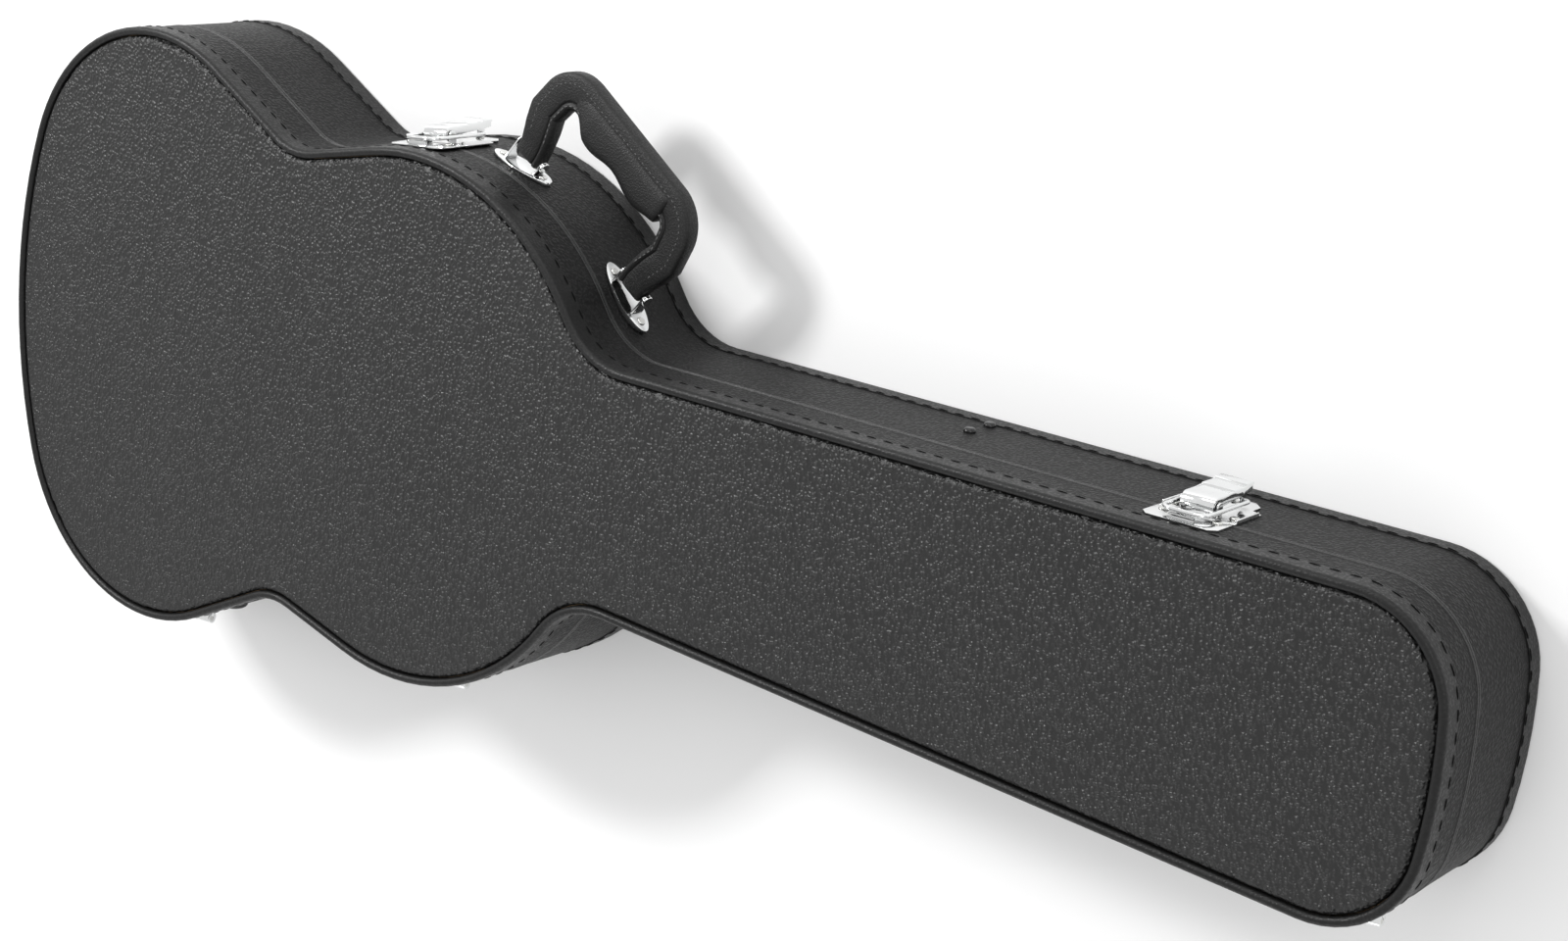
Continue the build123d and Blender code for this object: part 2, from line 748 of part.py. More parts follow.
# Accessory box under the neck
box_tail = body_bulkhead - cradle_length - box_lid_gap
box_head = box_tail - box_length
box_floor = floor_pad_top
box_top = box_floor + box_wall_height
box_lid_low = box_top + box_lid_gap
box_axis = (box_half_width + box_knuckle_radius, box_lid_low + box_lid_thickness / 2)
box_knuckle_stations = (
    box_tail - box_knuckle_end_distance, (box_tail + box_head) / 2, box_head + box_knuckle_end_distance,
)
barrel_half = box_barrel_length / 2
post_low = box_top - box_post_depth


def accessory_box():
    """Open plywood tray with the fixed half of the lid's wire hinges."""
    half = box_half_width
    tray = block(box_head, box_tail, -half, half, box_floor, box_top)
    wall = box_wall
    floor = box_floor + box_floor_thickness
    tray -= block(box_head + wall, box_tail - wall, wall - half, half - wall, floor, box_top + wall)
    for x in box_knuckle_stations:
        for shift in (-1, 1):
            middle = x + shift * (box_knuckle_length / 3 + box_lid_gap)
            outer = half + 2 * box_knuckle_radius
            low_x = middle - barrel_half
            high_x = middle + barrel_half
            post = block(low_x, high_x, half - wall / 2, outer, post_low, box_top)
            post += block(low_x, high_x, half + box_lid_gap, outer, post_low, box_axis[1])
            barrel = Pos(middle, *box_axis) * Rot(0, 90, 0) * Cylinder(box_knuckle_radius, box_barrel_length)
            tray += post + barrel
        tray -= Pos(x, *box_axis) * Rot(0, 90, 0) * Cylinder(box_pin_radius, 2 * box_knuckle_length)
    return tray


def accessory_lid():
    """Padded board with the moving knuckles on its hinge edge."""
    half = box_half_width
    board = block(
        box_head + box_lid_overhang, box_tail - box_lid_overhang, -half, half,
        box_lid_low, box_lid_low + box_lid_thickness,
    )
    for x in box_knuckle_stations:
        for shift in (-1, 1):
            middle = x + shift * (box_knuckle_length / 3 + box_lid_gap)
            barrel = Cylinder(box_knuckle_radius + box_lid_gap, box_barrel_length + 2 * box_lid_gap)
            board -= Pos(middle, *box_axis) * Rot(0, 90, 0) * barrel
        own = Pos(x, *box_axis) * Rot(0, 90, 0) * Cylinder(box_knuckle_radius, box_knuckle_length / 3)
        tongue = block(
            x - barrel_half, x + barrel_half, half - barrel_half, half + box_knuckle_radius,
            box_lid_low, box_lid_low + box_lid_thickness,
        )
        board += own + tongue
        running = box_pin_radius + pin_running_clearance
        board -= Pos(x, *box_axis) * Rot(0, 90, 0) * Cylinder(running, 2 * box_knuckle_length)
    return board


def accessory_pins():
    """Wire pins of the accessory lid's hinges."""
    length = box_knuckle_length + 2 * box_lid_gap
    pin = Rot(0, 90, 0) * Cylinder(box_pin_radius, length)
    return [Pos(x, *box_axis) * pin for x in box_knuckle_stations]


def pull_tab():
    """Ribbon glued to the lid's free edge."""
    middle = (box_tail + box_head) / 2
    low = box_lid_low + box_lid_thickness
    tab = block(
        middle - tab_width / 2, middle + tab_width / 2, -box_half_width, tab_length - box_half_width,
        low, low + tab_thickness,
    )
    return fillet(tab.edges().filter_by(Axis.Z).group_by(Axis.Y)[-1], tab_width / 4)


# Interior padding of the base
def body_padding():
    """Foam surround of the guitar's body, open towards the neck."""
    surround = ring(base_rim_inner, body_cavity_inset, floor_pad_top, padding_top)
    return surround & between_stations(body_bulkhead, half_length)


def body_lining():
    """Plush over the cavity's floor, walls and rim."""
    inner = body_cavity_inset + plush_thickness
    floor = slab(body_cavity_inset, floor_pad_top, floor_pad_top + plush_thickness)
    wall = ring(body_cavity_inset, inner, floor_pad_top + plush_thickness, lining_top)
    rim = ring(valance_inner, body_cavity_inset, padding_top, lining_top)
    return (floor + wall + rim) & between_stations(body_bulkhead, half_length)


def head_padding():
    """Foam surround of the headstock."""
    surround = ring(base_rim_inner, head_cavity_inset, floor_pad_top, padding_top)
    return surround & between_stations(-half_length, head_bulkhead)


def head_lining():
    """Plush over the headstock's space."""
    inner = head_cavity_inset + plush_thickness
    floor = slab(head_cavity_inset, floor_pad_top, floor_pad_top + plush_thickness)
    wall = ring(head_cavity_inset, inner, floor_pad_top + plush_thickness, lining_top)
    rim = ring(valance_inner, head_cavity_inset, padding_top, lining_top)
    return (floor + wall + rim) & between_stations(-half_length, head_bulkhead)


def neck_cradle():
    """Padded bulkhead with a notch that carries the neck."""
    shape = slab(valance_inner, floor_pad_top, lining_top)
    shape = shape & between_stations(body_bulkhead - cradle_length, body_bulkhead)
    half = cradle_notch_half_width
    notch = block(-case_length, case_length, -half, half, cradle_notch_floor, case_depth)
    return shape - fillet(notch.edges().filter_by(Axis.X).group_by(Axis.Z)[0], cradle_notch_round)


def neck_side_padding():
    """Two foam strips between the accessory box and the neck's walls."""
    fill = slab(base_rim_inner, floor_pad_top, box_top - neck_strip_drop)
    clear = block(head_bulkhead, body_bulkhead, -box_half_width, box_half_width, 0, case_depth)
    return (fill & between_stations(head_bulkhead, body_bulkhead - cradle_length)) - clear


def neck_end_padding():
    """Foam block between the accessory box and the headstock."""
    return block(head_bulkhead, box_head, -box_half_width, box_half_width, floor_pad_top, box_top)


# Small pieces on the walls
def side_studs():
    """Two black domed studs on the neck's opening side."""
    studs = []
    for height in side_stud_heights:
        frame = neck_frame(side_stud_station, height, cover_inset)
        stud = Cylinder(side_stud_radius, side_stud_height, align=(Align.CENTER, Align.CENTER, Align.MIN))
        stud = fillet(stud.edges().group_by(Axis.Z)[-1], side_stud_dome)
        studs.append(frame.location * stud)
    return studs


def side_feet():
    """Domed feet on the hinge side that stand as far out as the hinges' barrels."""
    feet = []
    circles = outline_circles()
    reach = hinge_axis_offset + hinge_knuckle_radius + foot_clearance
    for circle, shifts in ((circles[1], foot_shifts), (circles[5], (0.0,))):
        frame = hinge_frame(circle)
        for shift in shifts:
            foot = Cylinder(foot_radius, 3 * reach, align=(Align.CENTER, Align.CENTER, Align.MAX))
            foot = fillet(foot.edges().group_by(Axis.Z)[-1], foot_round)
            foot = frame.location * Pos(shift, foot_level - parting_height, reach) * foot
            feet.append(foot - slab(cover_inset, 0, case_depth))
    return feet


# Placing: every piece is written where it sits in the closed case
handle_rivet_places = [(side * handle_plate_rivet_spacing / 2, 0.0) for side in (-1, 1)]
latch_frames = {
    "body": bout_frame(latch_body_station, parting_height, cover_inset),
    "neck": neck_frame(latch_neck_station, parting_height, cover_inset),
}
hinge_circles = [outline_circles()[index] for index in (1, 3, 5)]

base_bores = []
lid_bores = []
for frame in latch_frames.values():
    base_bores += bores_at(frame, base_rivets, latch_plate_thickness)
    lid_bores += bores_at(frame, strike_rivets, latch_plate_thickness)
for mount in (tail_mount, neck_mount):
    base_bores += bores_at(mount, handle_rivet_places, handle_plate_thickness)
for circle in hinge_circles:
    for up, bores in ((-1, base_bores), (1, lid_bores)):
        frame, places = hinge_screw_frames(circle, up)
        bores += bores_at(frame, places, seat_of(circle))


def drilled(shape, bores):
    """A wall with its fasteners' holes."""
    for bore in bores:
        shape -= bore
    return shape


keep("lid_panel", panel_ply())
keep("lid_panel_cover", panel_cover())
keep("lid_edge_band", edge_band())
keep("lid_rim", drilled(ring(rim_inset, lid_rim_inner, lid_bottom, bead_foot), lid_bores))
keep("lid_wall_cover", drilled(ring(cover_inset, rim_inset, lid_bottom, bead_foot), lid_bores))
keep("lid_padding", slab(lid_rim_inner, lid_pad_bottom, panel_ply_bottom))
skirt_low = valance_top + lid_skirt_gap
lid_skirt = ring(lid_rim_inner, lid_rim_inner + plush_thickness, skirt_low, lid_lining_bottom)
keep("lid_lining", slab(lid_rim_inner, lid_lining_bottom, lid_pad_bottom) + lid_skirt)

keep("base_panel", turned_over(panel_ply()))
keep("base_panel_cover", turned_over(panel_cover()))
keep("base_edge_band", foot_cut(turned_over(edge_band())))
base_rim_foot = case_depth - bead_foot
base_rim = ring(rim_inset, base_rim_inner, base_rim_foot, base_top) - turned_over(panel_ply())
keep("base_rim", drilled(base_rim, base_bores))
keep("base_wall_cover", drilled(ring(cover_inset, rim_inset, base_rim_foot, base_top), base_bores))
keep("base_valance", ring(base_rim_inner, valance_inner, base_top - valance_depth, valance_top))
keep("floor_padding", slab(base_rim_inner, floor_level, floor_pad_top))
keep("body_padding", body_padding() - ring(0, valance_inner, base_top - valance_depth, case_depth))
keep("body_lining", body_lining())
keep("neck_cradle", neck_cradle())
keep("neck_side_padding", neck_side_padding())
keep("neck_end_padding", neck_end_padding())
keep("head_padding", head_padding() - ring(0, valance_inner, base_top - valance_depth, case_depth))
keep("head_lining", head_lining())
keep("accessory_box", accessory_box())
keep("accessory_hinge_pins", Part() + accessory_pins())
keep("accessory_lid", accessory_lid())
keep("accessory_pull_tab", pull_tab())

strike_heads = Part()
base_heads = Part()
for name, frame in latch_frames.items():
    keep(f"latch_strike_{name}", drilled(frame.location * strike_plate(), lid_bores))
    keep(f"latch_plate_{name}", drilled(frame.location * base_plate(), base_bores))
    keep(f"latch_pin_{name}", frame.location * lever_pin())
    keep(f"latch_lever_{name}", frame.location * lever())
    keep(f"latch_bail_{name}", frame.location * bail())
    strike_heads += [rivet_at(frame, x, y, latch_plate_thickness) for x, y in strike_rivets]
    base_heads += [rivet_at(frame, x, y, latch_plate_thickness) for x, y in base_rivets]
keep("latch_strike_rivets", strike_heads)
keep("latch_plate_rivets", base_heads)

keep("handle_plate_tail", handle_plate(1, tail_mount))
keep("handle_plate_neck", handle_plate(-1, neck_mount))
keep("handle_pins", Part() + [handle_pin(side) for side in (-1, 1)])
handle_heads = Part()
for mount in (tail_mount, neck_mount):
    handle_heads += [rivet_at(mount, x, y, handle_plate_thickness) for x, y in handle_rivet_places]
keep("handle_plate_rivets", handle_heads)
keep("handle_strap", handle_frame.location * handle_strap())
keep("handle_core", handle_frame.location * handle_core(handle_core_width, handle_core_thickness))
keep("handle_grip", handle_frame.location * handle_grip())

base_leaves = Part()
lid_leaves = Part()
pins = Part()
base_screws = Part()
lid_screws = Part()
for circle in hinge_circles:
    base_leaves += hinge_leaf(circle, -1, base_knuckle_places, lid_knuckle_places)
    lid_leaves += hinge_leaf(circle, 1, lid_knuckle_places, base_knuckle_places)
    pin_length = 3 * hinge_knuckle_length + 2 * hinge_knuckle_gap
    pins += [hinge_frame(circle).location * pin for pin in knuckles((0.0,), hinge_pin_radius, pin_length)]
    for up in (-1, 1):
        frame, places = hinge_screw_frames(circle, up)
        heads = [rivet_at(frame, x, y, seat_of(circle)) for x, y in places]
        if up < 0:
            base_screws += heads
        else:
            lid_screws += heads
keep("hinge_base_leaves", base_leaves)
keep("hinge_lid_leaves", lid_leaves)
keep("hinge_pins", pins)
keep("hinge_base_screws", base_screws)
keep("hinge_lid_screws", lid_screws)
keep("side_studs", Part() + side_studs())
keep("side_feet", Part() + side_feet())

# The origin is in the middle of the whole width, with the handle and the hinges
boxes = [shape.bounding_box() for shape in pieces.values()]
side_shift = -(min(box.min.Y for box in boxes) + max(box.max.Y for box in boxes)) / 2
for node, shape in pieces.items():
    write(node, Pos(0, side_shift, 0) * shape)
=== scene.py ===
import json
from math import cos, pi, radians, sin
import bmesh
import bpy
from mathutils import Matrix, Vector

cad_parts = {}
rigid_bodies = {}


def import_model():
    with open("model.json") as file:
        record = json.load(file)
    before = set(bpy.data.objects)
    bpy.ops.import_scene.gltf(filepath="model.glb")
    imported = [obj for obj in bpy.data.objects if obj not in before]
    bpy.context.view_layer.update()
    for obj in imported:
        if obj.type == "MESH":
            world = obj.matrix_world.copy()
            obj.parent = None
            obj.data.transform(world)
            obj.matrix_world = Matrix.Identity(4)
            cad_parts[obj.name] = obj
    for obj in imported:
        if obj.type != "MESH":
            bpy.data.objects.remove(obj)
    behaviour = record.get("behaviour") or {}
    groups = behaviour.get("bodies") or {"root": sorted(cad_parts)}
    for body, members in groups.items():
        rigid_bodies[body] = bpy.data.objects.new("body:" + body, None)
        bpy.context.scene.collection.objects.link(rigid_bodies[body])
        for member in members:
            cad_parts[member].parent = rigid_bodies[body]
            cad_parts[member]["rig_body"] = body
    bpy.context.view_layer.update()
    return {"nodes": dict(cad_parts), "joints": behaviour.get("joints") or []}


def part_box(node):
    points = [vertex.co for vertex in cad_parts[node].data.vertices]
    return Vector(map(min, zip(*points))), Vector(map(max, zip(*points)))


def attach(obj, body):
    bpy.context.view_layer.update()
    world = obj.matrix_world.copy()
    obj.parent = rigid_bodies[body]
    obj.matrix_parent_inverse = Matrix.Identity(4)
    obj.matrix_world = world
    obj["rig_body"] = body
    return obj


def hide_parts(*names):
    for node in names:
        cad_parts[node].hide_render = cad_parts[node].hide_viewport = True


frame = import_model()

MM = 0.001


# Studio: a pale paper floor, a camera turned so that the handle side is up, and soft
# lamps. The case lies on its back, so the camera looks down on the lid from the head end.
def linear(code):
    """Scene colour of an sRGB hex code."""
    channels = [int(code[place:place + 2], 16) / 255 for place in (1, 3, 5)]
    return [c / 12.92 if c <= 0.04045 else ((c + 0.055) / 1.055) ** 2.4 for c in channels] + [1.0]


def add_node(tree, kind, sockets=None, **settings):
    """Add a node with its settings; a socket takes a plain value or another node's output."""
    node = tree.nodes.new(kind)
    for field, value in settings.items():
        setattr(node, field, value)
    for socket, value in (sockets or {}).items():
        if isinstance(value, bpy.types.NodeSocket):
            tree.links.new(value, node.inputs[socket])
        else:
            node.inputs[socket].default_value = value
    return node


def new_finish(name):
    """An empty material with its surface shader joined to the output."""
    finish = bpy.data.materials.new(name)
    finish.use_nodes = True
    tree = finish.node_tree
    tree.nodes.clear()
    surface = add_node(tree, "ShaderNodeBsdfPrincipled")
    add_node(tree, "ShaderNodeOutputMaterial", {"Surface": surface.outputs["BSDF"]})
    return finish, tree, surface


def join_socket(tree, output, surface, socket):
    """Lead a node's output into one socket of the surface shader."""
    tree.links.new(output, surface.inputs[socket])


camera_place = (-0.96207, -0.45917, 1.19454)
camera_turn = (-12.32236, 38.66049, -172.49543)
camera_lens = 62.696

camera = bpy.data.objects.new("camera", bpy.data.cameras.new("camera"))
bpy.context.scene.collection.objects.link(camera)
camera.location = camera_place
camera.rotation_euler = [radians(angle) for angle in camera_turn]
camera.data.lens = camera_lens
camera.data.sensor_width = 36.0
camera.data.clip_start = 0.02
camera.data.clip_end = 60.0
bpy.context.scene.camera = camera

paper, tree, surface = new_finish("white_paper_matt")
surface.inputs["Base Color"].default_value = linear("#f4f4f4")
surface.inputs["Roughness"].default_value = 0.9
fibre = add_node(tree, "ShaderNodeTexNoise", {"Scale": 400.0, "Detail": 3.0})
relief = add_node(
    tree, "ShaderNodeBump", {"Height": fibre.outputs["Fac"], "Distance": 0.2 * MM, "Strength": 0.2}
)
join_socket(tree, relief.outputs["Normal"], surface, "Normal")

floor_mesh = bmesh.new()
bmesh.ops.create_grid(floor_mesh, x_segments=8, y_segments=8, size=7.0)
floor_data = bpy.data.meshes.new("floor")
floor_mesh.to_mesh(floor_data)
floor_data.materials.append(paper)
floor = bpy.data.objects.new("floor", floor_data)
bpy.context.scene.collection.objects.link(floor)

lamps = {
    "lamp_handle_side": ((-0.3, -2.3, 1.1), (0.0, -0.1, 0.05), (2.2, 0.6), 16.0),
    "lamp_tail_glint": ((1.5, -1.15, 1.55), (0.0, 0.0, 0.1), (0.6, 0.35), 38.0),
    "lamp_head_end": ((-2.2, -0.9, 1.7), (-0.2, 0.0, 0.05), (1.2, 0.9), 11.0),
    "lamp_hinge_side": ((0.4, 2.4, 1.0), (0.0, 0.1, 0.05), (2.0, 0.8), 8.0),
}
for name, (place, aim, size, power) in lamps.items():
    lamp = bpy.data.objects.new(name, bpy.data.lights.new(name, "AREA"))
    bpy.context.scene.collection.objects.link(lamp)
    lamp.data.shape = "RECTANGLE"
    lamp.data.size = size[0]
    lamp.data.size_y = size[1]
    lamp.data.energy = power
    lamp.location = place
    lamp.rotation_euler = (Vector(aim) - Vector(place)).to_track_quat("-Z", "Y").to_euler()

world = bpy.data.worlds.new("studio")
world.use_nodes = True
world.node_tree.nodes["Background"].inputs["Color"].default_value = linear("#ffffff")
world.node_tree.nodes["Background"].inputs["Strength"].default_value = 0.8
bpy.context.scene.world = world
bpy.context.scene.view_settings.view_transform = "Standard"


# Wooden shell: two plywood panels and two bent plywood rims, glued and pinned. The board
# shows only at its edges inside the case, as pale veneer with thin layers.
def cover(nodes, finish):
    """Give CAD pieces their finish."""
    for node in nodes:
        data = frame["nodes"][node].data
        data.materials.clear()
        data.materials.append(finish)


veneer_thickness = 1.2 * MM

plywood, tree, surface = new_finish("poplar_plywood_sanded")
place = add_node(tree, "ShaderNodeTexCoord").outputs["Object"]
stretched = add_node(tree, "ShaderNodeMapping", {"Vector": place, "Scale": (6.0, 90.0, 90.0)})
figure = add_node(
    tree, "ShaderNodeTexNoise", {"Vector": stretched.outputs["Vector"], "Scale": 3.0, "Detail": 6.0}
)
layers = add_node(
    tree, "ShaderNodeTexWave",
    {"Vector": place, "Scale": 1 / (2 * pi * veneer_thickness) * 0.3, "Distortion": 1.5, "Detail": 2.0},
    bands_direction="Z",
)
mixed = add_node(
    tree, "ShaderNodeMix",
    {"Factor": 0.3, "A": figure.outputs["Fac"], "B": layers.outputs["Fac"]}, data_type="FLOAT",
)
tone = add_node(tree, "ShaderNodeValToRGB", {"Fac": mixed.outputs["Result"]})
tone.color_ramp.elements[0].color = linear("#8a6a45")
tone.color_ramp.elements[1].color = linear("#cfb087")
join_socket(tree, tone.outputs["Color"], surface, "Base Color")
surface.inputs["Roughness"].default_value = 0.7
relief = add_node(
    tree, "ShaderNodeBump", {"Height": figure.outputs["Fac"], "Distance": 0.2 * MM, "Strength": 0.4}
)
join_socket(tree, relief.outputs["Normal"], surface, "Normal")
cover(["lid_panel", "lid_rim", "base_panel", "base_rim"], plywood)


# Covering: black leathercloth, a PVC skin on cotton, embossed with pebbles and glued over
# both panels and round the walls. Each pebble's dome catches a small light.
def leathercloth(name, pebble, depth, dome, valley_shade, roughness, crease, shine):
    """Embossed vinyl: warped rounded cells with painted shade darker between them, and fine creases."""
    finish, tree, surface = new_finish(name)
    place = add_node(tree, "ShaderNodeTexCoord").outputs["Object"]
    drift = add_node(tree, "ShaderNodeTexNoise", {"Vector": place, "Scale": 0.45 / pebble, "Detail": 2.0})
    shifted = add_node(
        tree, "ShaderNodeVectorMath", {0: drift.outputs["Color"], 1: (-0.5, -0.5, -0.5)}, operation="ADD"
    )
    warped = add_node(
        tree, "ShaderNodeVectorMath",
        {0: shifted.outputs["Vector"], 1: (1.1 * pebble, 1.1 * pebble, 1.1 * pebble), 2: place},
        operation="MULTIPLY_ADD",
    )
    cells = add_node(
        tree, "ShaderNodeTexVoronoi",
        {"Vector": warped.outputs["Vector"], "Scale": 1 / pebble, "Smoothness": 0.35}, feature="SMOOTH_F1",
    )
    domes = add_node(
        tree, "ShaderNodeMapRange",
        {"Value": cells.outputs["Distance"], "From Min": 0.08, "From Max": 0.72, "To Min": 1.0,
         "To Max": 0.0},
        interpolation_type="SMOOTHSTEP",
    )
    fine = add_node(
        tree, "ShaderNodeTexNoise", {"Vector": place, "Scale": 4.0 / pebble, "Detail": 3.0, "Roughness": 0.6}
    )
    height = add_node(
        tree, "ShaderNodeMath", {0: fine.outputs["Fac"], 1: crease, 2: domes.outputs["Result"]},
        operation="MULTIPLY_ADD",
    )
    relief = add_node(
        tree, "ShaderNodeBump", {"Height": height.outputs["Value"], "Distance": depth, "Strength": 1.0}
    )
    join_socket(tree, relief.outputs["Normal"], surface, "Normal")
    # Painted shade with random tone: the colour falls from the dome colour on the pebble tops to the darker
    # valley colour between them, and wanders in random patches.
    patches = add_node(tree, "ShaderNodeTexNoise", {"Vector": place, "Scale": 9.0, "Detail": 4.0})
    blend = add_node(
        tree, "ShaderNodeMath", {0: patches.outputs["Fac"], 1: 0.35, 2: domes.outputs["Result"]},
        operation="MULTIPLY_ADD",
    )
    tone = add_node(tree, "ShaderNodeValToRGB", {"Fac": blend.outputs["Value"]})
    tone.color_ramp.elements[0].color = linear(valley_shade)
    tone.color_ramp.elements[1].color = linear(dome)
    join_socket(tree, tone.outputs["Color"], surface, "Base Color")
    gloss = add_node(
        tree, "ShaderNodeMapRange",
        {"Value": blend.outputs["Value"], "To Min": roughness + 0.18, "To Max": roughness},
    )
    join_socket(tree, gloss.outputs["Result"], surface, "Roughness")
    surface.inputs["Specular IOR Level"].default_value = shine
    return finish


# The pebbles are about 1.5 mm wide on such a cloth. They are drawn at 2.2 mm on the panels
# and 2.0 mm on the walls, so that they still show in the picture.
panel_cloth = leathercloth(
    "vinyl_leathercloth_panel", 2.2 * MM, 0.60 * MM, "#1b1b1b", "#050505", 0.30, 0.25, 0.5
)
# The walls take a darker copy of the panels' vinyl, which paints shade on them.
wall_cloth_shaded = leathercloth(
    "vinyl_leathercloth_wall", 2.0 * MM, 0.40 * MM, "#0f0f0f", "#040404", 0.42, 0.3, 0.24
)
cover(["lid_panel_cover", "base_panel_cover"], panel_cloth)
cover(["lid_wall_cover", "base_wall_cover"], wall_cloth_shaded)


# Edge bands: a strip of the same vinyl, moulded round a cord into a piped bead, lies over
# the corner and is sewn down through the wall with thick black thread in long stitches.
band_cloth = leathercloth("vinyl_band_calendered", 1.7 * MM, 0.10 * MM, "#141414", "#0b0b0b", 0.36, 0.5, 0.32)
cover(["lid_edge_band", "base_edge_band"], band_cloth)

thread, tree, surface = new_finish("waxed_polyester_thread")
place = add_node(tree, "ShaderNodeTexCoord").outputs["Object"]
twist = add_node(
    tree, "ShaderNodeTexWave", {"Vector": place, "Scale": 300.0, "Distortion": 1.0},
    bands_direction="DIAGONAL",
)
tone = add_node(tree, "ShaderNodeValToRGB", {"Fac": twist.outputs["Fac"]})
tone.color_ramp.elements[0].color = linear("#020202")
tone.color_ramp.elements[1].color = linear("#080808")
join_socket(tree, tone.outputs["Color"], surface, "Base Color")
relief = add_node(tree, "ShaderNodeBump", {"Height": twist.outputs["Fac"], "Distance": 0.2 * MM})
join_socket(tree, relief.outputs["Normal"], surface, "Normal")
surface.inputs["Roughness"].default_value = 0.85
surface.inputs["Specular IOR Level"].default_value = 0.1


def show(name, mesh, finish, body):
    """Turn a bmesh into a finished piece that rides on a body."""
    data = bpy.data.meshes.new(name)
    mesh.to_mesh(data)
    mesh.free()
    data.materials.append(finish)
    piece = bpy.data.objects.new(name, data)
    bpy.context.scene.collection.objects.link(piece)
    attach(piece, body)
    return piece


def wall_line(node, height):
    """Ordered points of a CAD ring's outer edge, cut level at one height."""
    cut = bmesh.new()
    cut.from_mesh(frame["nodes"][node].data)
    bmesh.ops.remove_doubles(cut, verts=cut.verts, dist=0.01 * MM)
    made = bmesh.ops.bisect_plane(
        cut, geom=cut.verts[:] + cut.edges[:] + cut.faces[:], plane_co=(0, 0, height), plane_no=(0, 0, 1)
    )
    rim = {g for g in made["geom_cut"] if isinstance(g, bmesh.types.BMVert)}
    first = max(rim, key=lambda point: point.co.x)
    line = [first]
    while True:
        steps = [
            edge.other_vert(line[-1]) for edge in line[-1].link_edges
            if edge in made["geom_cut"] and edge.other_vert(line[-1]) in rim
        ]
        steps = [point for point in steps if point not in line[-2:]]
        if not steps or (len(line) > 2 and first in steps):
            break
        line.append(steps[0])
    points = [point.co.copy() for point in line]
    cut.free()
    return points


def evenly(points, pitch, closed=True):
    """Places along a line at an even pitch: point and direction of travel."""
    loop = points + points[:1] if closed else points
    total = sum((b - a).length for a, b in zip(loop, loop[1:]))
    step = total / round(total / pitch)
    places = []
    ahead = step / 2
    for a, b in zip(loop, loop[1:]):
        span = (b - a).length
        while span and ahead <= span:
            places.append((a.lerp(b, ahead / span), (b - a).normalized()))
            ahead += step
        ahead -= span
    return places


def stitch(length, width, height):
    """One short thread, thick in its middle and drawn in at both ends."""
    mesh = bmesh.new()
    bmesh.ops.create_uvsphere(mesh, u_segments=6, v_segments=5, radius=0.5)
    bmesh.ops.rotate(mesh, verts=mesh.verts, matrix=Matrix.Rotation(pi / 2, 3, "Y"))
    bmesh.ops.scale(mesh, verts=mesh.verts, vec=(length, width, height))
    data = bpy.data.meshes.new("stitch")
    mesh.to_mesh(data)
    mesh.free()
    return data


def sewn(places, one, normal_of):
    """A row of the same stitch: x along the row and z out of the surface."""
    row = bmesh.new()
    for point, along in places:
        start = len(row.verts)
        row.from_mesh(one)
        row.verts.ensure_lookup_table()
        out = normal_of(point, along)
        side = out.cross(along).normalized()
        turn = Matrix((along, side, out)).transposed().to_4x4()
        bmesh.ops.transform(row, verts=row.verts[start:], matrix=Matrix.Translation(point) @ turn)
    for face in row.faces:
        face.smooth = True
    return row


def outward(turning):
    """Rule for the level direction out of the wall, for a line that runs round the case."""
    return lambda point, along: along.cross(Vector((0, 0, turning)))


stitch_pitch = 10.7 * MM
stitch_length = 6.6 * MM
stitch_width = 1.25 * MM
stitch_proud = 0.9 * MM
stitch_height = 11.6 * MM
long_stitch = stitch(stitch_length, stitch_width, stitch_proud)
lid_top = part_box("lid_edge_band")[1].z
for node, body, height in (
    ("lid_edge_band", "lid", lid_top - stitch_height), ("base_edge_band", "base", stitch_height)
):
    line = wall_line(node, height)
    area = sum(a.x * b.y - b.x * a.y for a, b in zip(line, line[1:] + line[:1]))
    turning = 1 if area > 0 else -1
    row = sewn(evenly(line, stitch_pitch), long_stitch, outward(turning))
    show(f"{body}_band_stitches", row, thread, body)


# Parting: along the gap between the halves the cloth's edge is folded back on itself and
# glued, which leaves a thin smooth fold round both walls. The board's own edge stays bare.
# The fold is a real ridge, but its vinyl is a lighter copy of the wall's, which paints a highlight along the
# parting.
fold_cloth_lit = leathercloth("vinyl_turned_edge", 1.3 * MM, 0.05 * MM, "#262626", "#141414", 0.3, 0.4, 0.5)
fold_tall = 1.5
fold_proud = 0.35
fold_sides = 10


